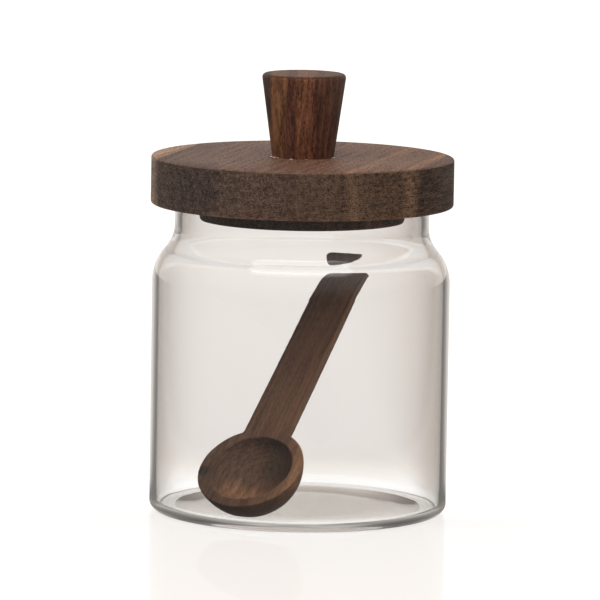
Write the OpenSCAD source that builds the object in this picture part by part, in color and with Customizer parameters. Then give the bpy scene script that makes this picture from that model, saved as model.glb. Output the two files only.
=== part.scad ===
// Jam pot: a blown glass jar, a turned wooden lid with a glued knob, and a wooden spoon
// that leans inside. Millimetres. Origin at the middle of the base, +Z up, front towards -Y.

/* [Jar] */
// Outside diameter of the straight body
body_d = 93.5; // [60:0.5:160]
// Height of the rim, which carries the lid
jar_h = 97; // [70:1:200]
// Thickness of the body wall
wall = 2; // [1.2:0.1:3]
// Thickness of the neck wall, a little heavier than the body
neck_wall = 2.2; // [1.4:0.1:3.2]
// Thickness of the glass floor
floor_t = 1.8; // [1.4:0.1:4]
// How far the neck is set in from the side of the body
neck_inset = 6.9; // [3:0.1:12]
// Height of the straight part of the neck
neck_h = 6.6; // [4:0.1:20]
// Radius of the heel between base and side, outside
heel_r = 3; // [1.5:0.1:8]
// Radius of the corner between floor and side, inside
floor_corner_r = 2.6; // [1:0.1:8]
// Outer radius of the shoulder where it leaves the body
bulge_r = 15; // [8:0.5:30]
// Outer radius of the shoulder where it runs into the neck
sweep_r = 12; // [8:0.5:30]
// How far round the shoulder's lower curve, in degrees, the inside runs parallel to the outside
low_even_turn = 29; // [10:0.5:34]
// How far round its upper curve, in degrees, it does so again below the neck
high_even_turn = 18.3; // [8:0.1:30]
// Radius of the inside between them, where the glass is thicker: body end
bulge_in_r = 10.1; // [9:0.05:13]
// Radius of the inside between them: neck end
sweep_in_r = 9.35; // [8.5:0.05:13]
// Width of the flat ring that the jar stands on
foot_ring_w = 5; // [2:0.5:12]
// Height of the push-up in the middle of the base
push_up = 0.6; // [0.2:0.1:0.9]
// Width of the slope from the foot ring to the push-up
push_up_slope_w = 8; // [3:0.5:15]

/* [Lid] */
// How far the lid reaches out past the side of the body
lid_overhang = 0.75; // [-2:0.05:6]
// Thickness of the disc that rests on the rim
lid_t = 15; // [8:0.5:30]
// Radius of the eased edges of the disc
lid_ease_r = 0.7; // [0.3:0.1:2]
// Depth of the plug that drops into the neck
plug_h = 4.7; // [2:0.1:9]
// Play all round between the plug and the inside of the neck
plug_gap = 5; // [0.5:0.1:9]
// Radius of the eased lower edge of the plug
plug_ease_r = 0.6; // [0.3:0.1:1.5]

/* [Knob] */
// Diameter of the knob at its top
knob_top_d = 26.6; // [18:0.2:40]
// Diameter of the knob at its foot
knob_foot_d = 19.4; // [15:0.2:30]
// Height of the knob
knob_h = 26.1; // [16:0.5:45]
// Radius of the rounded top edge
knob_round_r = 1.2; // [0.4:0.1:3]
// Diameter of the dowel that pins the knob to the lid
dowel_d = 8; // [5:0.5:10]
// How deep the dowel goes into the lid, and as deep into the knob
dowel_depth = 10; // [4:0.5:12]
// Glue line round the dowel
glue_gap = 0.05; // [0.02:0.01:0.1]
// Room for glue past each end of the dowel
glue_pocket = 0.5; // [0.2:0.1:1.5]

/* [Spoon] */
// Diameter of the bowl over its rim
bowl_d = 33.6; // [20:0.2:45]
// Width of the flat rim of the bowl
rim_w = 3.5; // [2:0.1:6]
// Depth of the bowl outside, from the plane of the rim
bowl_depth = 15; // [8:0.2:16]
// Depth of the hollow
hollow_depth = 11; // [5:0.2:12]
// Width of the handle where it leaves the bowl
handle_root_w = 15; // [8:0.1:18]
// Width of the handle at its tip
handle_tip_w = 14.1; // [6:0.1:18]
// How far the handle sits to the left of the bowl's middle, seen from the front
handle_shift = 0.6; // [-2:0.05:2]
// Thickness of the handle
handle_t = 3; // [2:0.1:5]
// Radius of the corners of the handle's tip
tip_corner_r = 1.6; // [0.5:0.1:4]
// Compass turn of the spoon from straight back, towards +X
spoon_turn = 24.8; // [-180:0.1:180]
// How far the spoon sits to the side of the jar's axis
spoon_side = -1.75; // [-6:0.05:6]
// Height of the handle's tip above the start of the shoulder
tip_rise = -0.3; // [-20:0.1:4]
// Clearance between the spoon and the glass
spoon_gap = 0.35; // [0.2:0.05:1]

/* [Hidden] */
$fn = 144;

// One overrun for all cuts
over = 1;

// Jar, outside
body_r = body_d / 2;
neck_r = body_r - neck_inset;
out_turn = acos(1 - neck_inset / (bulge_r + sweep_r));
curve_h = (bulge_r + sweep_r) * sin(out_turn);
curve_z = jar_h - neck_h - curve_h;
rim_r = neck_wall / 2;
foot_r = body_r - heel_r - foot_ring_w;

// Jar, inside. The turn at which its two curves meet brings them from the body to the neck.
body_in_r = body_r - wall;
neck_in_r = neck_r - neck_wall;
low_even_r = bulge_r - wall;
high_even_r = sweep_r + neck_wall;
in_turn = acos((neck_in_r - body_in_r + low_even_r * (1 - cos(low_even_turn))
    + bulge_in_r * cos(low_even_turn) + high_even_r * (1 - cos(high_even_turn))
    + sweep_in_r * cos(high_even_turn)) / (bulge_in_r + sweep_in_r));

// Arcs of the shoulder, each with its radius and its turn from upright at its flatter end and at the
// other one. The bulges are in order from the body, and the sweeps go on from there to the neck.
bulges = [[bulge_r, 0, out_turn]];
sweeps = [[sweep_r, 0, out_turn]];
bulges_in = [[low_even_r, 0, low_even_turn], [bulge_in_r, low_even_turn, in_turn]];
sweeps_in = [[sweep_in_r, high_even_turn, in_turn], [high_even_r, 0, high_even_turn]];

// Outlines. An arc is drawn in this many short cones, from just after its first point to its last.
arc_steps = 12;
function arc_points(centre, r, from, to) = [for (i = [1 : arc_steps])
    let (turn = from + (to - from) * i / arc_steps) centre + r * [cos(turn), sin(turn)]];
function arc_start(start, arcs, i) = i == 0 ? start
    : let (arc = arcs[i - 1]) arc_start(start, arcs, i - 1)
        + arc[0] * [cos(arc[2]) - cos(arc[1]), sin(arc[2]) - sin(arc[1])];
function bulge_points(start, arcs) = [for (i = [0 : len(arcs) - 1])
    let (arc = arcs[i], centre = arc_start(start, arcs, i) - arc[0] * [cos(arc[1]), sin(arc[1])])
    each arc_points(centre, arc[0], arc[1], arc[2])];
function sweep_points(start, arcs) = [for (i = [0 : len(arcs) - 1])
    let (arc = arcs[i], centre = arc_start(start, arcs, i) + arc[0] * [cos(arc[2]), sin(arc[2])])
    each arc_points(centre, arc[0], 180 + arc[2], 180 + arc[1])];

// One side of a pot's wall, from its floor at floor_z up to where its neck is straight
function wall_points(side_r, corner_r, floor_z, bulges, sweeps) = concat(
    [[side_r - corner_r, floor_z]],
    arc_points([side_r - corner_r, floor_z + corner_r], corner_r, -90, 0),
    [[side_r, curve_z]],
    bulge_points([side_r, curve_z], bulges),
    sweep_points(arc_start([side_r, curve_z], bulges, len(bulges)), sweeps));
function backwards(points) = [for (i = [len(points) - 1 : -1 : 0]) points[i]];

// Lid and knob
lid_r = body_r + lid_overhang;
plug_r = neck_in_r - plug_gap;
lid_top_z = jar_h + lid_t;
dowel_hole_r = dowel_d / 2 + glue_gap;
dowel_hole_depth = dowel_depth + glue_pocket;
dowel_chamfer_share = 0.1;
flute_count = 12;
flute_r_share = 0.06;

// Spoon: balls that shape the bowl. A ball of this radius cuts the rim's plane in a circle of
// radius r and reaches a depth d below it.
function cap_ball_r(r, d) = (r * r + d * d) / (2 * d);
bowl_r = bowl_d / 2;
hollow_r = bowl_r - rim_w;
bowl_ball_r = cap_ball_r(bowl_r, bowl_depth);
hollow_ball_r = cap_ball_r(hollow_r, hollow_depth);
bowl_ball_rise = bowl_ball_r - bowl_depth;
hollow_ball_rise = hollow_ball_r - hollow_depth;

// Spoon: how it leans. In the upright plane through the handle, the bowl's rim touches the glass in
// front, its underside the floor, and the lower edge of the tip the wall behind. The lean is the
// angle at which the tip comes to the height tip_z, found by halving the interval.
tip_z = curve_z + tip_rise;
reach_in_r = body_in_r - spoon_gap;
function inside_r(z) = z < curve_z ? body_in_r
    : body_in_r - low_even_r + sqrt(pow(low_even_r, 2) - pow(z - curve_z, 2));
function across(r, side) = sqrt(r * r - side * side);
front_reach = across(reach_in_r, spoon_side);
back_reach = across(inside_r(tip_z) - spoon_gap, handle_tip_w / 2 + abs(handle_shift - spoon_side));
function bowl_along(lean) = bowl_r * cos(lean) - front_reach;
function bowl_z(lean) = floor_t + spoon_gap + bowl_ball_r - bowl_ball_rise * cos(lean);
function handle_reach(lean) = (back_reach - bowl_along(lean) - handle_t * sin(lean)) / cos(lean);
function tip_error(lean) = bowl_z(lean) + handle_reach(lean) * sin(lean) - handle_t * cos(lean) - tip_z;
function halve(low, high, steps) = let (middle = (low + high) / 2)
    steps == 0 ? middle
    : tip_error(middle) > 0 ? halve(low, middle, steps - 1) : halve(middle, high, steps - 1);
least_lean = 1;
most_lean = 85;
halvings = 40;
spoon_lean = halve(least_lean, most_lean, halvings);
handle_l = handle_reach(spoon_lean);

// Half section of a turned disc with both outer edges eased
module disc_section(r, h, ease_r) {
    square([r - ease_r, h]);
    translate([0, ease_r]) square([r, h - 2 * ease_r]);
    for (z = [ease_r, h - ease_r]) translate([r - ease_r, z]) circle(ease_r);
}

// The glass jar: one surface of revolution with a fire-rounded rim and a push-up in the base
module jar() {
    color([0.88, 0.88, 0.87, 0.35]) rotate_extrude() polygon(concat(
        [[0, push_up], [foot_r - push_up_slope_w, push_up], [foot_r, 0]],
        wall_points(body_r, heel_r, 0, bulges, sweeps),
        [[neck_r, jar_h - rim_r]],
        arc_points([neck_r - rim_r, jar_h - rim_r], rim_r, 0, 180),
        backwards(wall_points(body_in_r, floor_corner_r, floor_t, bulges_in, sweeps_in)),
        [[0, floor_t]]));
}

// The lid: one turned board, a disc with a smaller plug under it, bored for the dowel
module lid() {
    color([0.29, 0.20, 0.16]) difference() {
        union() {
            translate([0, 0, jar_h]) rotate_extrude() disc_section(lid_r, lid_t, lid_ease_r);
            translate([0, 0, jar_h - plug_h]) rotate_extrude() {
                square([plug_r - plug_ease_r, plug_h + lid_ease_r]);
                translate([0, plug_ease_r]) square([plug_r, plug_h + lid_ease_r - plug_ease_r]);
                translate([plug_r - plug_ease_r, plug_ease_r]) circle(plug_ease_r);
            }
        }
        translate([0, 0, lid_top_z - dowel_hole_depth]) cylinder(r = dowel_hole_r, h = dowel_hole_depth + over);
    }
}

// The knob: a turned taper, wider at the top, bored for the dowel from below
module knob() {
    foot_r = knob_foot_d / 2;
    top_r = knob_top_d / 2;
    flare = atan((top_r - foot_r) / knob_h);
    round_x = foot_r + (knob_h - knob_round_r) * tan(flare) - knob_round_r / cos(flare);
    color([0.34, 0.21, 0.15]) translate([0, 0, lid_top_z]) difference() {
        rotate_extrude() {
            intersection() {
                polygon([[0, 0], [foot_r, 0], [top_r, knob_h], [0, knob_h]]);
                union() {
                    square([round_x, knob_h]);
                    square([top_r, knob_h - knob_round_r - knob_round_r * sin(flare)]);
                    translate([round_x, knob_h - knob_round_r]) circle(knob_round_r);
                }
            }
        }
        translate([0, 0, -over]) cylinder(r = dowel_hole_r, h = dowel_hole_depth + over);
    }
}

// The dowel: a plain glued pin with chamfered ends and glue flutes, half in the lid, half in the knob
module knob_dowel() {
    dowel_r = dowel_d / 2;
    chamfer = dowel_d * dowel_chamfer_share;
    flute_r = dowel_d * flute_r_share;
    color([0.78, 0.64, 0.45]) translate([0, 0, lid_top_z - dowel_depth]) difference() {
        rotate_extrude() polygon([[0, 0], [dowel_r - chamfer, 0], [dowel_r, chamfer],
            [dowel_r, 2 * dowel_depth - chamfer], [dowel_r - chamfer, 2 * dowel_depth], [0, 2 * dowel_depth]]);
        for (i = [0 : flute_count - 1]) rotate(i * 360 / flute_count)
            translate([dowel_r + flute_r / 2, 0, -over]) cylinder(r = flute_r, h = 2 * (dowel_depth + over));
    }
}

// Outline of the handle from above: a strap that narrows a little towards its round-cornered tip
module handle_outline() {
    start = hollow_r + rim_w / 2;
    tip = handle_tip_w / 2;
    root = handle_root_w / 2;
    tip_end = handle_l - tip_corner_r;
    translate([0, handle_shift]) {
        polygon([[start, -root], [tip_end, -tip], [tip_end, tip], [start, root]]);
        translate([tip_end - tip_corner_r, tip_corner_r - tip]) square([2 * tip_corner_r, 2 * (tip - tip_corner_r)]);
        for (side = [-1, 1]) translate([tip_end, side * (tip - tip_corner_r)]) circle(tip_corner_r);
    }
}

// The spoon lying level: bowl centred at the origin, plane of its rim at z = 0, handle along +X
module level_spoon() {
    difference() {
        union() {
            intersection() {
                translate([0, 0, bowl_ball_rise]) sphere(bowl_ball_r);
                translate([0, 0, -bowl_depth - over]) cylinder(r = bowl_r + over, h = bowl_depth + over);
            }
            translate([0, 0, -handle_t]) linear_extrude(handle_t) handle_outline();
        }
        translate([0, 0, hollow_ball_rise]) sphere(hollow_ball_r);
    }
}

// The spoon: carved in one piece, leaning in the jar with its bowl in front and its tip behind
module spoon() {
    color([0.31, 0.21, 0.16]) rotate([0, 0, 90 - spoon_turn])
        translate([bowl_along(spoon_lean), -spoon_side, bowl_z(spoon_lean)])
        rotate([0, -spoon_lean, 0]) level_spoon();
}

jar();
lid();
knob();
knob_dowel();
spoon();
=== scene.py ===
import bmesh
import bpy
import random
from math import acos, asin, atan2, cos, degrees, pi, radians, sin
from mathutils import Matrix, Vector


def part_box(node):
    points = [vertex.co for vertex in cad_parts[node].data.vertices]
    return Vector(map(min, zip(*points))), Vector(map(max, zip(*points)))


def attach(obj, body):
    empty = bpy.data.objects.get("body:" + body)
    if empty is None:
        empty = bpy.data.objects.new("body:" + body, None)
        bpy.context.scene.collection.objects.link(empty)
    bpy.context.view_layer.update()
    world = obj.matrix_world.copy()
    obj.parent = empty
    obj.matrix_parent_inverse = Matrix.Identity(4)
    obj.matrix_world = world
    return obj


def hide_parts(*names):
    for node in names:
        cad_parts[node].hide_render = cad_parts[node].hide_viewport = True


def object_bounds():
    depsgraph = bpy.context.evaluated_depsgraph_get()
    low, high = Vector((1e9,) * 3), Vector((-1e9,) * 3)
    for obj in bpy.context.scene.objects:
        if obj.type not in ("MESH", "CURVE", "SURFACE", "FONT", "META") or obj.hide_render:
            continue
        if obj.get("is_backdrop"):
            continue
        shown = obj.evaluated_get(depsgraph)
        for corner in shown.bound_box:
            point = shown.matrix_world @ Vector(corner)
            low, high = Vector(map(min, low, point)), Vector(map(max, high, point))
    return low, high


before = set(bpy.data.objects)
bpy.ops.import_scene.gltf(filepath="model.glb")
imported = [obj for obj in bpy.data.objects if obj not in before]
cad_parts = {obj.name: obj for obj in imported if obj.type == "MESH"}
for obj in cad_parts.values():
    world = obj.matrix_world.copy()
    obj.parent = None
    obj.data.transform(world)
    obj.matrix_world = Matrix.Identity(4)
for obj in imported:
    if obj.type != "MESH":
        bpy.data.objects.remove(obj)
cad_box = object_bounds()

# The glass pot
# One pot of clear borosilicate glass, blown in a mould and fire-polished at the rim. It has a round
# heel, a straight side, a soft shoulder that draws in to a short neck, and a base pushed up a little.
pot_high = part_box("jar")[1]
side_r = pot_high.x
rim_z = pot_high.z
side_wall = 0.002
neck_wall = 0.0022
floor_t = 0.0018
neck_inset = 0.0069
neck_h = 0.0066
heel_r = 0.003
floor_corner_r = 0.0026
bulge_r = 0.015
sweep_r = 0.012
low_even_turn = radians(29)
high_even_turn = radians(18.3)
bulge_in_r = 0.0101
sweep_in_r = 0.00935
foot_ring_w = 0.005
push_up = 0.0006
push_up_slope_w = 0.008
glass_ior = 1.47
glass_tint = (0.938, 0.924, 0.911)
turned_steps = 256
weld_gap = 1e-6


def pen(x, z):
    """A new mesh that holds the first point of an outline in the upright plane y = 0."""
    drawing = bmesh.new()
    return drawing, drawing.verts.new((x, 0, z))


def straight(drawing, tip, x, z, steps=1):
    """Draws the outline on to (x, z) and returns its new end."""
    start = tip.co.copy()
    for step in range(1, steps + 1):
        tip = bmesh.ops.extrude_vert_indiv(drawing, verts=[tip])["verts"][0]
        tip.co = start.lerp(Vector((x, 0, z)), step / steps)
    return tip


def arc(drawing, tip, x, z, turn, steps=12):
    """Draws the outline on round (x, z), turn degrees counterclockwise as seen from the front."""
    made = bmesh.ops.spin(drawing, geom=[tip], cent=(x, 0, z), axis=(0, -1, 0),
                          angle=radians(turn), steps=steps)
    return next(v for v in made["geom_last"] if isinstance(v, bmesh.types.BMVert))


def turned(name, drawing):
    """Spins an outline once round the upright axis and returns it as a smooth closed piece."""
    bmesh.ops.spin(drawing, geom=drawing.verts[:] + drawing.edges[:], cent=(0, 0, 0), axis=(0, 0, 1),
                   angle=2 * pi, steps=turned_steps, use_merge=True)
    bmesh.ops.remove_doubles(drawing, verts=drawing.verts, dist=weld_gap)
    return piece(name, drawing)


def piece(name, drawing, sharp=35):
    """Turns a finished bmesh into an object with smooth faces and edges kept sharp past an angle."""
    bmesh.ops.recalc_face_normals(drawing, faces=drawing.faces)
    for face in drawing.faces:
        face.smooth = True
    for edge in drawing.edges:
        edge.smooth = edge.calc_face_angle(0) < radians(sharp)
    mesh = bpy.data.meshes.new(name)
    drawing.to_mesh(mesh)
    drawing.free()
    made = bpy.data.objects.new(name, mesh)
    bpy.context.scene.collection.objects.link(made)
    return made


class Socket:
    """One socket of a shader. A sum on it adds its Math node, and node() adds a node of any kind."""

    def __init__(self, tree, end=None):
        self.tree, self.end = tree, end

    def node(self, kind, settings={}, sockets={}, out=0):
        """Adds a node, with its settings first and then the values or links of its sockets."""
        made = self.tree.nodes.new("ShaderNode" + kind)
        for name, value in settings.items():
            if name == "stops":
                ramp = made.color_ramp.elements
                ramp.remove(ramp[-1])
                ramp[0].position, ramp[0].color = value[0]
                for place, colour in value[1:]:
                    ramp.new(place).color = colour
            else:
                setattr(made, name, value)
        for name, value in sockets.items():
            if isinstance(value, Socket):
                self.tree.links.new(value.end, made.inputs[name])
            else:
                made.inputs[name].default_value = value
        return Socket(self.tree, made.outputs[out] if made.outputs else None)

    def other(self, name):
        """Another output of the same node."""
        return Socket(self.tree, self.end.node.outputs[name])

    def sum(self, operation, first, second):
        return self.node("Math", {"operation": operation}, {0: first, 1: second})

    def __add__(self, value):
        return self.sum("ADD", self, value)

    def __radd__(self, value):
        return self.sum("ADD", value, self)

    def __sub__(self, value):
        return self.sum("SUBTRACT", self, value)

    def __rsub__(self, value):
        return self.sum("SUBTRACT", value, self)

    def __mul__(self, value):
        return self.sum("MULTIPLY", self, value)

    def __rmul__(self, value):
        return self.sum("MULTIPLY", value, self)

    def __truediv__(self, value):
        return self.sum("DIVIDE", self, value)

    def __pow__(self, value):
        return self.sum("POWER", self, value)


def blank(name):
    """A new empty material and its shader."""
    made = bpy.data.materials.new(name)
    made.use_nodes = True
    made.node_tree.nodes.clear()
    return made, Socket(made.node_tree)


# Inside, the shoulder keeps an even wall at both of its ends, with two arcs of its own between them.
body_in_r = side_r - side_wall
neck_r = side_r - neck_inset
neck_in_r = neck_r - neck_wall
foot_r = side_r - heel_r - foot_ring_w
out_turn = acos(1 - neck_inset / (bulge_r + sweep_r))
curve_z = rim_z - neck_h - (bulge_r + sweep_r) * sin(out_turn)
neck_z = rim_z - neck_h
low_even_r = bulge_r - side_wall
high_even_r = sweep_r + neck_wall
low_even_x = low_even_r * (1 - cos(low_even_turn))
high_even_x = high_even_r * (1 - cos(high_even_turn))
in_turn = acos((neck_in_r - body_in_r + low_even_x + bulge_in_r * cos(low_even_turn)
                + high_even_x + sweep_in_r * cos(high_even_turn)) / (bulge_in_r + sweep_in_r))
low_even_z = curve_z + low_even_r * sin(low_even_turn)
high_even_z = (low_even_z + bulge_in_r * (sin(in_turn) - sin(low_even_turn))
               + sweep_in_r * (sin(in_turn) - sin(high_even_turn)))
neck_in_z = high_even_z + high_even_r * sin(high_even_turn)
rim_r = neck_wall / 2

pot, tip = pen(0, push_up)
tip = straight(pot, tip, foot_r - push_up_slope_w, push_up, steps=4)
tip = straight(pot, tip, foot_r, 0, steps=4)
tip = straight(pot, tip, side_r - heel_r, 0, steps=3)
tip = arc(pot, tip, side_r - heel_r, heel_r, 90)
tip = straight(pot, tip, side_r, curve_z, steps=14)
tip = arc(pot, tip, side_r - bulge_r, curve_z, degrees(out_turn), steps=24)
tip = arc(pot, tip, neck_r + sweep_r, neck_z, -degrees(out_turn), steps=24)
tip = straight(pot, tip, neck_r, rim_z - rim_r, steps=3)
tip = arc(pot, tip, neck_r - rim_r, rim_z - rim_r, 180, steps=16)
tip = straight(pot, tip, neck_in_r, neck_in_z, steps=3)
tip = arc(pot, tip, neck_in_r + high_even_r, neck_in_z, degrees(high_even_turn), steps=12)
tip = arc(pot, tip, neck_in_r + high_even_x + sweep_in_r * cos(high_even_turn),
          high_even_z + sweep_in_r * sin(high_even_turn), degrees(in_turn - high_even_turn), steps=20)
tip = arc(pot, tip, body_in_r - low_even_x - bulge_in_r * cos(low_even_turn),
          low_even_z - bulge_in_r * sin(low_even_turn), degrees(low_even_turn - in_turn), steps=14)
tip = arc(pot, tip, body_in_r - low_even_r, curve_z, -degrees(low_even_turn), steps=16)
tip = straight(pot, tip, body_in_r, floor_t + floor_corner_r, steps=14)
tip = arc(pot, tip, body_in_r - floor_corner_r, floor_t + floor_corner_r, -90)
tip = straight(pot, tip, 0, floor_t, steps=6)
pot_glass = turned("pot_glass", pot)

clear, shader = blank("clear_glass")
surface = shader.node("BsdfPrincipled", {}, {
    "Base Color": (*glass_tint, 1), "Roughness": 0.0, "IOR": glass_ior, "Transmission Weight": 1.0})
shader.node("OutputMaterial", {}, {"Surface": surface})
pot_glass.data.materials.append(clear)
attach(pot_glass, "jar")
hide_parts("jar")

# The lid
# A disc turned from one dark brown board, its grain running from front to back and a little to the
# right. A smaller plug turned in one with it hangs in the neck, and a blind hole takes the dowel.
lid_low, lid_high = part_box("lid")
lid_r = lid_high.x
lid_top_z = lid_high.z
plug_low_z = lid_low.z
lid_ease_r = 0.0007
plug_gap = 0.005
plug_ease_r = 0.0006
plug_r = neck_in_r - plug_gap
hole_r = 0.00405
hole_depth = 0.0105
# Width of the light band round the lid's top edge: worn wood and a painted highlight.
lid_wear_and_highlight_w = 0.00045
millimetre = 0.001

# How fine each pattern in the wood is: waves to a millimetre across, through and along the grain,
# and for the lines of the turning, waves to a metre.
drift_waves = (0.05, 0.05, 0.012)
depth_waves = (0.05, 0.05, 0.01)
ripple_waves = (0.35, 0.35, 0.03)
mark_waves = (0.3, 0.3, 0.08)
ring_waves = (0.12, 0.12, 0.01)
year_waves = (0.03, 0.03, 0.003)
fibre_waves = (3.2, 3.2, 0.16)
strand_waves = (0.9, 0.9, 0.035)
speck_waves = (2.6, 4.6, 0.45)
edge_waves = (1.6, 1.6, 0.5)
turning_waves = (130, 130, 3100)
pore_width_share = 0.09

# Where each pattern starts to show and where it is full.
mark_ramp = (0.4, 1.0)
strand_ramp = (0.3, 0.7)
speck_ramp = (0.35, 0.65)
pore_ramp = (0.16, 0.34)
porous_ramp = (0.15, 0.7)
down_ramp = (-0.1, 0.6)
edge_start_share = 0.4

# How strong the patterns are against each other.
ripple_share = 0.12
ring_wander = 1.6
ring_sharpness = 2.5
year_gain = 1.6
year_pore_share = 0.5
fibre_height = 0.3
speck_height = 0.15
pore_height = 0.8
fibre_rough = 0.12
pore_rough = 0.15
grain_strength = 0.35
grain_depth = 0.00015


def paint(red, green, blue):
    """A colour named as it looks on a screen, from 0 to 255, as a shader's linear colour."""
    return (*(((c / 255 + 0.055) / 1.055) ** 2.4 for c in (red, green, blue)), 1)


def soft(value, low, high):
    """0 below low, 1 above high, and a smooth step between."""
    return value.node("MapRange", {"interpolation_type": "SMOOTHSTEP"},
                      {"Value": value, "From Min": low, "From Max": high})


def mixed(share, first, second):
    """The first colour where share is 0, the second where it is 1."""
    return share.node("Mix", {"data_type": "RGBA"}, {0: share, 6: first, 7: second}, out=2)


def times(first, second):
    """Two vectors or colours multiplied part by part."""
    return first.node("VectorMath", {"operation": "MULTIPLY"}, {0: first, 1: second})


def scaled(share, colour):
    """A colour made darker or lighter by share."""
    return share.node("VectorMath", {"operation": "SCALE"}, {0: colour, "Scale": share})


def noise(place, waves, detail=3.0, rough=0.5):
    """Smooth noise from 0 to 1, with so many waves to a unit of the place each way."""
    return place.node("TexNoise", {}, {
        "Vector": times(place, waves), "Scale": 1.0, "Detail": detail, "Roughness": rough})


def wood(name, origin, turn, half_width, figure, wander, pith, ring_pitch, ring_dark, pore_pitch,
         pore_dark, fibre_dark, speck_dark, rough, gloss, up=(1, 1, 1, 1), side_shade=(1, 1, 1, 1),
         down_shade=(1, 1, 1, 1), turning=0.0, marks=(), edges=(), edge_colour=None):
    """Oiled wood. The board's own frame, in millimetres, has Z along the grain and X across it; figure
    gives the colours across the board, and marks, rings, fibres, pores and the lines that the turning
    left on upright faces are laid over them. A mark is a place, its radius, its colour and a share; some
    marks are painted light and shade. The colours up, side_shade and down_shade tone the faces that look
    each way: painted shade for how the light falls on them, and on the lid and knob in part darker end
    grain. An edge is the radius and height of a turned rim and the width of its band of edge_colour, in
    metres: worn wood, and on the lid also a painted highlight."""
    made, shader = blank(name)
    spot = shader.node("TexCoord", out="Object")
    place = shader.node("Mapping", {"vector_type": "TEXTURE"}, {
        "Vector": spot, "Location": origin, "Rotation": turn,
        "Scale": (millimetre, millimetre, millimetre)})
    axes = shader.node("SeparateXYZ", {}, {0: place})
    drift = noise(place, drift_waves, detail=2.0) - 0.5
    ripple = noise(place, ripple_waves) - 0.5
    across = axes + drift * wander + ripple * (wander * ripple_share)
    depth = axes.other("Y") + (noise(place, depth_waves, detail=2.0) - 0.5) * wander
    colour = shader.node("ValToRGB", {"stops": figure}, {0: across / (2 * half_width) + 0.5})
    blur = noise(place, mark_waves) - 0.5
    for centre, radius, mark, share in marks:
        away = place.node("VectorMath", {"operation": "DISTANCE"}, {0: place, 1: centre}, out="Value")
        colour = mixed((1 - soft(away / radius + blur, *mark_ramp)) * share, colour, mark)

    run = ((across - pith[0]) ** 2.0 + (depth - pith[1]) ** 2.0) ** 0.5
    count = run / ring_pitch + (noise(place, ring_waves, detail=2.0) - 0.5) * ring_wander
    late = count.node("Math", {"operation": "FRACT"}, {0: count}) ** ring_sharpness
    year = noise(place, year_waves, detail=1.0)
    fibre = noise(place, fibre_waves, detail=4.0, rough=0.6)
    strand = soft(noise(place, strand_waves), *strand_ramp)
    speck = soft(noise(place, speck_waves, detail=2.0), *speck_ramp)
    cells = times(place, (1 / pore_pitch, 1 / pore_pitch, pore_width_share / pore_pitch))
    gap = place.node("TexVoronoi", {"feature": "F1"}, {"Vector": cells, "Scale": 1.0, "Randomness": 1.0})
    pores = (1 - soft(gap, *pore_ramp)) * soft(late + year * year_pore_share, *porous_ramp)

    shade = 1 - late * year * ring_dark * year_gain
    shade = shade * (1 + (fibre + strand - 1) * fibre_dark + (speck - 0.5) * speck_dark)
    shade = shade * (1 - pores * pore_dark)
    facing = spot.node("SeparateXYZ", {}, {0: spot.other("Normal")}).other("Z")
    upright = 1 - facing ** 2.0
    rounds = noise(spot, turning_waves, detail=2.0) - 0.5
    shade = shade * (1 + upright * rounds * turning)
    # Faces that look up, sideways and down are toned: painted shade for how the light falls on them, partly
    # darker end grain on the lid and knob.
    painted_facing_shade = mixed(soft(facing * -1.0, *down_ramp), mixed(upright, up, side_shade), down_shade)
    colour = scaled(shade, times(colour, painted_facing_shade))
    if edges:
        points = shader.node("SeparateXYZ", {}, {0: spot})
        reach = (points ** 2.0 + points.other("Y") ** 2.0) ** 0.5
        for edge_r, edge_z, edge_w in edges:
            away = ((reach - edge_r) ** 2.0 + (points.other("Z") - edge_z) ** 2.0) ** 0.5
            ragged = away + (noise(place, edge_waves) - 0.5) * edge_w
            colour = mixed(1 - soft(ragged, edge_w * edge_start_share, edge_w), colour, edge_colour)
    height = (fibre + strand) * fibre_height + speck * speck_height - pores * pore_height
    bumped = shader.node("Bump", {}, {
        "Strength": grain_strength, "Distance": grain_depth, "Height": height})
    satin = rough + (fibre - 0.5) * fibre_rough + pores * pore_rough
    surface = shader.node("BsdfPrincipled", {}, {
        "Base Color": colour, "Roughness": satin, "Specular IOR Level": gloss, "Normal": bumped})
    shader.node("OutputMaterial", {}, {"Surface": surface})
    return made


disc, tip = pen(0, plug_low_z)
tip = straight(disc, tip, plug_r - plug_ease_r, plug_low_z, steps=3)
tip = arc(disc, tip, plug_r - plug_ease_r, plug_low_z + plug_ease_r, 90, steps=5)
tip = straight(disc, tip, plug_r, rim_z, steps=2)
tip = straight(disc, tip, lid_r - lid_ease_r, rim_z, steps=2)
tip = arc(disc, tip, lid_r - lid_ease_r, rim_z + lid_ease_r, 90, steps=6)
tip = straight(disc, tip, lid_r, lid_top_z - lid_ease_r, steps=4)
tip = arc(disc, tip, lid_r - lid_ease_r, lid_top_z - lid_ease_r, 90, steps=6)
tip = straight(disc, tip, hole_r, lid_top_z, steps=5)
tip = straight(disc, tip, hole_r, lid_top_z - hole_depth)
tip = straight(disc, tip, 0, lid_top_z - hole_depth)
lid_board = turned("lid_board", disc)

lid_figure = [
    (0.00, paint(164, 134, 110)), (0.06, paint(154, 120, 96)), (0.085, paint(96, 74, 62)),
    (0.20, paint(106, 80, 66)), (0.33, paint(112, 84, 69)), (0.42, paint(110, 81, 66)),
    (0.60, paint(110, 80, 64)), (0.755, paint(114, 82, 64)), (0.775, paint(136, 99, 74)),
    (0.81, paint(114, 82, 63)), (0.905, paint(112, 80, 61)), (0.925, paint(144, 103, 76)),
    (0.95, paint(90, 66, 53)), (1.00, paint(100, 75, 62))]
lid_marks = [
    ((-24, 7, -41), 17, paint(82, 64, 56), 0.75), ((28, -9, 0), 22, paint(114, 84, 66), 0.6)]
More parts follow.
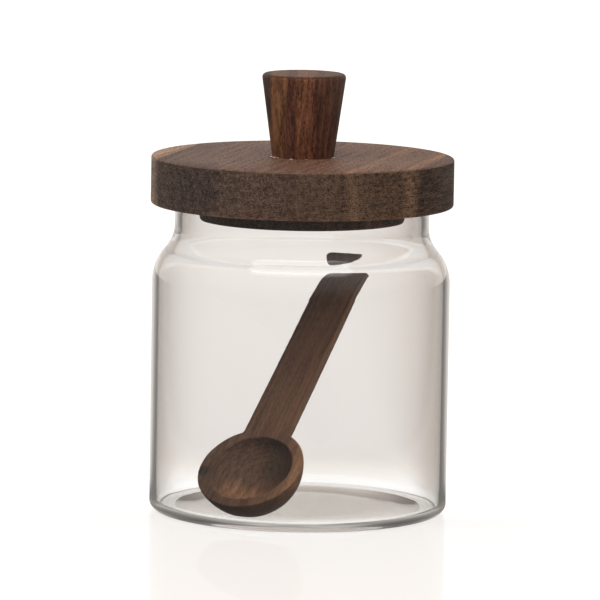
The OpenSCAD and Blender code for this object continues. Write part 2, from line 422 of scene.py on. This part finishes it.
# The upright faces are toned darker and cooler by side_shade: painted shade, as less light falls on them
# than on the top, and in part the darker end grain.
lid_wood = wood(
    "lid_wood", origin=(0, 0, lid_top_z), turn=(radians(-90), 0, radians(-15)),
    half_width=lid_r / millimetre, figure=lid_figure, wander=5.0, pith=(-120.0, 40.0), ring_pitch=3.4,
    ring_dark=0.2, pore_pitch=0.62, pore_dark=0.4, fibre_dark=0.55, speck_dark=1.05, rough=0.58, gloss=0.1,
    side_shade=(0.61, 0.72, 0.79, 1), turning=1.0, marks=lid_marks, edges=[(lid_r, lid_top_z, lid_wear_and_highlight_w)],
    edge_colour=paint(118, 94, 78))
lid_board.data.materials.append(lid_wood)
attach(lid_board, "lid")
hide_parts("lid")

# The knob
# A plain taper turned from another piece of the same wood, wider at the top, its grain upright and
# its top face end grain. A blind hole from below takes the dowel.
knob_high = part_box("knob")[1]
knob_top_r = knob_high.x
knob_top_z = knob_high.z
knob_corner_r = 0.0133
knob_foot_r = 0.0097
knob_round_r = 0.0012
knob_wear_w = 0.0009
knob_h = knob_top_z - lid_top_z
flare = atan2(knob_corner_r - knob_foot_r, knob_h)
round_x = knob_foot_r + (knob_h - knob_round_r) * sin(flare) / cos(flare) - knob_round_r / cos(flare)
round_z = knob_top_z - knob_round_r
taper_end_x = round_x + knob_round_r * cos(flare)
taper_end_z = round_z - knob_round_r * sin(flare)

taper, tip = pen(0, lid_top_z + hole_depth)
tip = straight(taper, tip, hole_r, lid_top_z + hole_depth)
tip = straight(taper, tip, hole_r, lid_top_z)
tip = straight(taper, tip, knob_foot_r, lid_top_z, steps=2)
tip = straight(taper, tip, taper_end_x, taper_end_z, steps=8)
tip = arc(taper, tip, round_x, round_z, 90 + degrees(flare), steps=8)
tip = straight(taper, tip, 0, knob_top_z, steps=4)
knob_turned = turned("knob_turned", taper)

knob_figure = [
    (0.00, paint(70, 53, 45)), (0.08, paint(74, 55, 45)), (0.11, paint(119, 81, 56)),
    (0.28, paint(115, 78, 55)), (0.31, paint(95, 60, 48)), (0.40, paint(99, 63, 50)),
    (0.44, paint(128, 83, 60)), (0.62, paint(122, 78, 58)), (0.68, paint(94, 62, 50)),
    (0.80, paint(108, 72, 56)), (0.90, paint(90, 66, 54)), (1.00, paint(102, 75, 62))]
# The top face is toned darker by up: painted shade against the strong overhead light, and in part its end
# grain.
knob_wood = wood(
    "knob_wood", origin=(0, 0, lid_top_z), turn=(0, 0, 0), half_width=knob_top_r / millimetre,
    figure=knob_figure, wander=3.0, pith=(60.0, 30.0), ring_pitch=2.2, ring_dark=0.3, pore_pitch=0.5,
    pore_dark=0.55, fibre_dark=0.7, speck_dark=0.5, rough=0.55, gloss=0.1,
    up=(0.8, 0.86, 0.84, 1), edges=[(knob_top_r, knob_top_z, knob_wear_w)],
    edge_colour=paint(78, 49, 35))
knob_turned.data.materials.append(knob_wood)
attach(knob_turned, "lid")
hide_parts("knob")

# The dowel
# A pale fluted beech pin, glued half into the lid and half into the knob. It is hidden while the two
# are together, so only its material is set here.
beech_figure = [
    (0.00, paint(206, 172, 128)), (0.35, paint(214, 182, 140)), (0.65, paint(200, 165, 122)),
    (1.00, paint(212, 180, 138))]
beech = wood(
    "beech", origin=(0, 0, lid_top_z), turn=(0, 0, 0), half_width=4.0, figure=beech_figure, wander=1.0,
    pith=(30.0, 10.0), ring_pitch=1.5, ring_dark=0.15, pore_pitch=0.4, pore_dark=0.15, fibre_dark=0.15,
    speck_dark=0.1, rough=0.6, gloss=0.3)
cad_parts["knob_dowel"].data.materials.clear()
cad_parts["knob_dowel"].data.materials.append(beech)

# The glue
# Where the knob was pressed down, some of the clear glue came out and dried in small shiny beads
# round its foot.
glue_spots = [
    (-166, 1.2), (-152, 1.1), (-142, 0.7), (-112, 0.7), (-83, 0.5), (-22, 0.6),
    (-15, 0.8), (24, 0.7), (75, 0.5), (118, 0.8), (163, 0.6)]
bead_r = 0.0005
bead_out = 0.0003
glue_rise_share = 0.35
cloud_waves = (2500, 2500, 2500)
cloud_ramp = (0.35, 0.65)
glue_rough = 0.16
cloud_rough = 0.1
glue_rng = random.Random(4)

beads = bmesh.new()
for bearing, size in glue_spots:
    made = bmesh.ops.create_icosphere(beads, subdivisions=3, radius=bead_r * size)["verts"]
    stretch = (glue_rng.uniform(0.8, 1.3), glue_rng.uniform(1.2, 2.4), glue_rise_share)
    bmesh.ops.scale(beads, vec=stretch, verts=made)
    bmesh.ops.translate(beads, vec=(knob_foot_r + bead_out * size, 0, lid_top_z), verts=made)
    bmesh.ops.rotate(beads, cent=(0, 0, 0), matrix=Matrix.Rotation(radians(bearing), 3, "Z"), verts=made)
glue_beads = piece("glue_beads", beads)

dried, shader = blank("dried_glue")
spot = shader.node("TexCoord", out="Object")
cloud = noise(spot, cloud_waves, detail=2.0)
milky = mixed(soft(cloud, *cloud_ramp), paint(176, 154, 136), paint(214, 202, 190))
surface = shader.node("BsdfPrincipled", {}, {
    "Base Color": milky, "Roughness": glue_rough + cloud * cloud_rough})
shader.node("OutputMaterial", {}, {"Surface": surface})
glue_beads.data.materials.append(dried)
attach(glue_beads, "lid")

# The spoon
# Carved in one piece of the same dark wood: a round bowl with a broad flat rim and a flat strap of a
# handle in the plane of that rim. It leans in the pot, its bowl in front and its tip behind.
bowl_r = 0.0168
spoon_rim_w = 0.0035
bowl_depth = 0.015
hollow_depth = 0.011
handle_root_w = 0.015
handle_tip_w = 0.0141
handle_shift = 0.0006
handle_t = 0.003
handle_l = 0.0922912
tip_corner_r = 0.0016

# Where it stands: its turn round the upright, its lean, and the middle of the bowl's rim.
spoon_turn = radians(24.8)
spoon_lean = radians(38.0468)
bowl_at = Vector((-0.0146484, -0.02753, 0.0175554))

# How finely it is carved: bowl and strap become one skin, and its edges are eased as by sanding.
carve_cell = 0.0003
smooth_rounds = 3
bowl_steps = 96


def cap(radius, depth):
    """The ball that a round cap of this radius and depth is part of, and half its arc in degrees."""
    ball_r = (radius ** 2 + depth ** 2) / (2 * depth)
    half = asin(radius / ball_r)
    return ball_r, degrees(half if depth < ball_r else pi - half)


hollow_r = bowl_r - spoon_rim_w
bowl_ball_r, bowl_arc = cap(bowl_r, bowl_depth)
hollow_ball_r, hollow_arc = cap(hollow_r, hollow_depth)

bowl, tip = pen(0, -bowl_depth)
tip = arc(bowl, tip, 0, bowl_ball_r - bowl_depth, bowl_arc, steps=32)
tip = straight(bowl, tip, hollow_r, 0, steps=3)
tip = arc(bowl, tip, 0, hollow_ball_r - hollow_depth, -hollow_arc, steps=32)
bmesh.ops.spin(bowl, geom=bowl.verts[:] + bowl.edges[:], cent=(0, 0, 0), axis=(0, 0, 1),
               angle=2 * pi, steps=bowl_steps, use_merge=True)
bmesh.ops.remove_doubles(bowl, verts=bowl.verts, dist=weld_gap)

handle_start = hollow_r + spoon_rim_w / 2
strap = bmesh.ops.create_cube(bowl, size=1)["verts"]
bmesh.ops.scale(bowl, vec=(handle_l - handle_start, handle_tip_w, handle_t), verts=strap)
bmesh.ops.translate(bowl, vec=((handle_l + handle_start) / 2, 0, -handle_t / 2), verts=strap)
root = [v for v in strap if v.co.x < handle_l / 2]
bmesh.ops.scale(bowl, vec=(1, handle_root_w / handle_tip_w, 1), verts=root)
corners = [e for v in strap for e in v.link_edges
           if all(w.co.x > handle_l / 2 for w in e.verts) and e.verts[0].co.y * e.verts[1].co.y > 0]
made = bmesh.ops.bevel(bowl, geom=list(set(corners)), affect="EDGES", offset=tip_corner_r, segments=6,
                       profile=0.5, material=-1)
strap = {v for v in strap if v.is_valid} | set(made["verts"])
bmesh.ops.translate(bowl, vec=(0, handle_shift, 0), verts=list(strap))
lean = Matrix.Rotation(pi / 2 - spoon_turn, 4, "Z") @ Matrix.Rotation(-spoon_lean, 4, "Y")
bmesh.ops.transform(bowl, matrix=Matrix.Translation(bowl_at) @ lean, verts=bowl.verts)
spoon_carved = piece("spoon_carved", bowl, sharp=180)
fuse = spoon_carved.modifiers.new("fuse", "REMESH")
fuse.mode = "VOXEL"
fuse.voxel_size = carve_cell
fuse.use_smooth_shade = True
ease = spoon_carved.modifiers.new("ease", "SMOOTH")
ease.factor = 0.5
ease.iterations = smooth_rounds

# Lightest towards the right edge, where it is a painted highlight on the right of the rim.
spoon_figure_and_painted_light = [
    (0.00, paint(112, 88, 73)), (0.25, paint(104, 80, 66)), (0.45, paint(108, 81, 65)),
    (0.60, paint(106, 79, 63)), (0.80, paint(118, 88, 68)), (0.90, paint(138, 103, 77)),
    (1.00, paint(142, 107, 80))]
# The first mark is a painted pool of light low in the hollow and the second is painted shade on the
# hollow's upper wall; the last two are small darker spots on the rim and at the handle's root.
spoon_marks_and_painted_light = [
    ((-4, 8, -7), 11, paint(158, 118, 90), 0.85), ((4, 5, 8), 10, paint(84, 70, 60), 0.75),
    ((-15, 0, -3), 3, paint(66, 52, 46), 0.8), ((0, 0, 17), 4, paint(98, 70, 56), 0.5)]
# down_shade darkens the faces that look down: painted shade under the bowl.
spoon_wood = wood(
    "spoon_wood", origin=bowl_at, turn=(spoon_lean - pi / 2, 0, -spoon_turn),
    half_width=bowl_r / millimetre, figure=spoon_figure_and_painted_light, wander=4.0, pith=(4.0, 60.0), ring_pitch=1.3,
    ring_dark=0.3, pore_pitch=0.5, pore_dark=0.25, fibre_dark=0.4, speck_dark=0.3, rough=0.55, gloss=0.15,
    down_shade=(0.52, 0.5, 0.5, 1), marks=spoon_marks_and_painted_light)
spoon_carved.data.materials.append(spoon_wood)
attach(spoon_carved, "spoon")
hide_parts("spoon")

# The studio
# A sweep that reads as plain white, under a large softbox with a fill lamp on the left. Dim panels are
# painted on the floor behind the pot, seen only through its glass, and draw its sides in grey as painted
# shade. The floor keeps a faint shadow and reflection of the pot.
floor_half = 3.0
floor_matt = (0.86, 0.86, 0.86, 1)
floor_shine = (0.66, 0.85, 1, 1)
shine_share = 0.18
plain_strength = 0.9
plain_share = 0.7

# The painted panels: each starts beside the pot and spreads by so many metres for each metre back.
panel_gap = 0.04
panel_rise = (0.0, 0.24)
panel_fall = (0.7, 0.9)
panel_start = (0.0, 0.05)
panel_far_fade = (0.95, 1.3)
panel_share = 0.29
right_panel_more = 0.11
right_panel_in = 0.06
right_ramp = (-0.01, 0.01)
haze_share = 0.02
near_haze_share = 0.05
near_haze_ramp = (0.0, 0.45)
panel_colour = (0.36, 0.24, 0.13, 1)
inside_colour = (0.22, 0.21, 0.2, 1)

# The floor as the glass mirrors it: painted dim, with fine rings of streaks and a darker band painted in
# the heel as shade under the foot ring.
mirror_colour = (1, 0.95, 0.9)
mirror_low = 0.2
mirror_more = 0.58
mirror_fade = (0.2, 0.55)
right_mirror_less = 0.1
streak_waves = (1.6, 1.6, 750)
streak_ramp = (0.32, 0.68)
streak_share = 0.6
streak_lift = 0.1
heel_edge = (0.0467, 0.0472)
heel_ramp = (0.0415, 0.0462)
heel_light = 0.42
heel_out_more = 0.12
heel_flank_less = 0.3
heel_streak = 1.1
flank_streak_less = 0.7
flank_ramp = (0.010, 0.030)

# The glow that keeps the sweep white, left weaker on the patch in front where the pot is mirrored.
glow_colour = (0.9, 0.92, 0.92, 1)
near_glow_colour = (1, 0.8, 0.64, 1)
glow_low = 0.17825
glow_far_more = 0.115
glow_reach = 0.55
near_glow = 0.5
near_ramp = (0.03, 0.12)
camera_white = 0.12
far_white = 0.03
patch_side = (0.07, 0.2)
patch_start = (0.0, 0.02)
patch_end = (0.25, 0.4)

sheet = bmesh.new()
bmesh.ops.create_grid(sheet, x_segments=1, y_segments=1, size=floor_half)
floor = piece("floor", sheet)
floor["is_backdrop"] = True


def came(tree):
    """How a ray came here, each 0 or 1: from the camera, straight through the glass, off something
    shiny, or through the glass from something matt."""
    direct = tree.node("LightPath", out="Is Camera Ray")
    glassy = direct.other("Is Transmission Ray")
    matt = soft(direct.other("Diffuse Depth"), 0, 1)
    shiny = soft(direct.other("Glossy Depth"), 0, 1)
    return direct, glassy * (1 - matt) * (1 - shiny), (1 - matt) * shiny, glassy * matt


white, shader = blank("white_sweep")
direct, through, mirrored, inner = came(shader)
seen = direct + through
across = shader.node("SeparateXYZ", {}, {0: shader.node("TexCoord", out="Object")})
back = across.other("Y")
front = back * -1.0
far = (across ** 2.0 + back ** 2.0) ** 0.5
aside = across.node("Math", {"operation": "ABSOLUTE"}, {0: across})
spread = (aside - panel_gap) / back
behind = soft(back, *panel_start)
right = soft(across, *right_ramp)
distant = soft(far, *panel_far_fade)

panel = soft(spread + right * right_panel_in, *panel_rise) * (1 - soft(spread, *panel_fall)) * behind
haze = haze_share + near_haze_share * (1 - soft(back, *near_haze_ramp))
panel = (panel * (panel_share + right * right_panel_more) + haze) * (1 - distant)

ring = across.node("CombineXYZ", {}, {0: across / far, 1: back / far, 2: far})
streak = soft(noise(ring, streak_waves, detail=2.0), *streak_ramp)
# Under the foot ring the mirrored floor is painted with a band of light and shade, darker on the flanks.
contact = 1 - soft(far, *heel_edge)
flanks = soft(aside, *flank_ramp)
heel = heel_light - flanks * heel_flank_less
heel = heel + soft(far, *heel_ramp) * (heel_out_more + flanks * heel_flank_less)
heel = heel * (1 + (streak - 0.5) * (heel_streak - flanks * flank_streak_less))
dimmed = mirror_low + mirror_more * (1 - soft(spread, *mirror_fade)) * behind
dimmed = dimmed * (1 - right * right_mirror_less)
dimmed = dimmed * (1 + (streak * streak_share + streak_lift) * contact)
dimmed = dimmed + (heel - dimmed) * contact * (1 - behind)

near = 1 - soft(back, *near_ramp)
rise = 1 - far.node("Math", {"operation": "EXPONENT"}, {0: far * (-1 / glow_reach)})
patch = (1 - soft(aside, *patch_side)) * soft(front, *patch_start) * (1 - soft(front, *patch_end))
glow = seen * (glow_low + glow_far_more * rise) + through * near * near_glow
glow = glow + direct * (1 - patch) * camera_white + through * distant * far_white
glow_tint = mixed(through * near, near_glow_colour, glow_colour)

matt = shader.node("BsdfDiffuse", {}, {"Color": floor_matt})
plain = shader.node("Emission", {}, {"Strength": plain_strength})
even = shader.node("MixShader", {}, {0: seen * plain_share, 1: matt, 2: plain})
shine = shader.node("BsdfGlossy", {}, {"Color": floor_shine, "Roughness": 0.0})
board = shader.node("MixShader", {}, {0: shine_share, 1: even, 2: shine})
lift = shader.node("Emission", {}, {"Color": scaled(glow, glow_tint)})
bright = shader.node("AddShader", {}, {0: board, 1: lift})
dull = shader.node("Emission", {}, {"Color": mixed(inner, panel_colour, inside_colour)})
flagged = shader.node("MixShader", {}, {0: through * panel + inner, 1: bright, 2: dull})
dim = shader.node("Emission", {}, {"Color": scaled(dimmed, mirror_colour)})
surface = shader.node("MixShader", {}, {0: mirrored, 1: flagged, 2: dim})
shader.node("OutputMaterial", {}, {"Surface": surface})
floor.data.materials.append(white)

# The room round the sweep: paler behind and above, and a bright patch that lights the wood in the pot.
room_low = 0.34
room_back_more = 0.7
room_top_more = 0.3
room_back_rise = (0.35, 0.9)
room_back_top = (0.3, 0.75)
room_top_rise = (0.1, 0.9)
room_tint = (1, 0.965, 0.93, 1)
inside_patch = 4.5
inside_less = 0.15
inside_patch_rise = (0.6, 0.9)
inside_patch_way = (0.42, -0.5, 0.757)
mirrored_less = 0.14
mirrored_top_more = 0.2
mirrored_top_rise = (0.0, 0.4)
twice_less = 0.62
twice_tint = (1, 0.85, 0.7, 1)
glass_less = 0.03

world = bpy.data.worlds.new("studio")
bpy.context.scene.world = world
world.use_nodes = True
world.node_tree.nodes.clear()
sky = Socket(world.node_tree)
direct, through, mirrored, inner = came(sky)
seen = direct + through
way = sky.node("TexCoord", out="Generated")
towards = sky.node("SeparateXYZ", {}, {0: way})
up = towards.other("Z")
behind = soft(towards.other("Y"), *room_back_rise) * (1 - soft(up, *room_back_top))
twice = direct.other("Is Transmission Ray") * soft(direct.other("Glossy Depth"), 0, 1) * behind
lit = way.node("VectorMath", {"operation": "DOT_PRODUCT"}, {0: way, 1: inside_patch_way}, out="Value")
room = room_low + behind * room_back_more + soft(up, *room_top_rise) * room_top_more
room = room + inner * (soft(lit, *inside_patch_rise) * inside_patch - inside_less)
room = room + mirrored * (1 - behind) * (soft(up, *mirrored_top_rise) * mirrored_top_more - mirrored_less)
room = room * (1 - twice * twice_less)
shade = scaled(room, mixed(twice, room_tint, twice_tint))
shade = mixed(seen, shade, scaled(1 - through * glass_less, (1, 1, 1)))
light = sky.node("Background", {}, {"Color": shade})
sky.node("OutputWorld", {}, {"Surface": light})


def softbox(name, at, aim, width, height, power, shows=True):
    """An oval lamp at one place, turned to another, that may show in glossy things or not."""
    lamp = bpy.data.lights.new(name, "AREA")
    lamp.shape = "ELLIPSE"
    lamp.size = width
    lamp.size_y = height
    lamp.energy = power
    made = bpy.data.objects.new(name, lamp)
    made.location = at
    made.visible_glossy = shows
    made.visible_transmission = shows
    made.rotation_euler = (Vector(aim) - Vector(at)).to_track_quat("-Z", "Y").to_euler()
    bpy.context.scene.collection.objects.link(made)


softbox("overhead", at=(0, -0.36, 1.05), aim=(0, 0, 0.06), width=1.2, height=0.6, power=4.2)
softbox("left_fill", at=(-1.1, -0.5, 0.6), aim=(0, 0, 0.08), width=0.5, height=0.8, power=4.0, shows=False)

# The camera
# A long lens, two metres off and looking a little down, turned a touch as the photograph is. Light runs
# round inside the heel's glass many times before it leaves, so it is followed for many bounces.
camera_distance = 1.95
camera_pitch = 0.13118
camera_roll = 0.01606
camera_aim = Vector((-0.000203, 0, 0.066569))
camera_lens = 372.28
light_bounces = 96

lens = bpy.data.cameras.new("camera")
lens.lens = camera_lens
camera = bpy.data.objects.new("camera", lens)
to_camera = Vector((0, -cos(camera_pitch), sin(camera_pitch)))
aimed = Matrix.Rotation(pi / 2 - camera_pitch, 4, "X") @ Matrix.Rotation(camera_roll, 4, "Z")
camera.matrix_world = Matrix.Translation(camera_aim + to_camera * camera_distance) @ aimed
bpy.context.scene.collection.objects.link(camera)
bpy.context.scene.camera = camera
bpy.context.scene.view_settings.view_transform = "Standard"
bpy.context.scene.cycles.max_bounces = light_bounces
bpy.context.scene.cycles.glossy_bounces = light_bounces
bpy.context.scene.cycles.transmission_bounces = light_bounces

size = {"cad": [list(corner) for corner in cad_box], "visual": [list(corner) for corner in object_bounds()]}
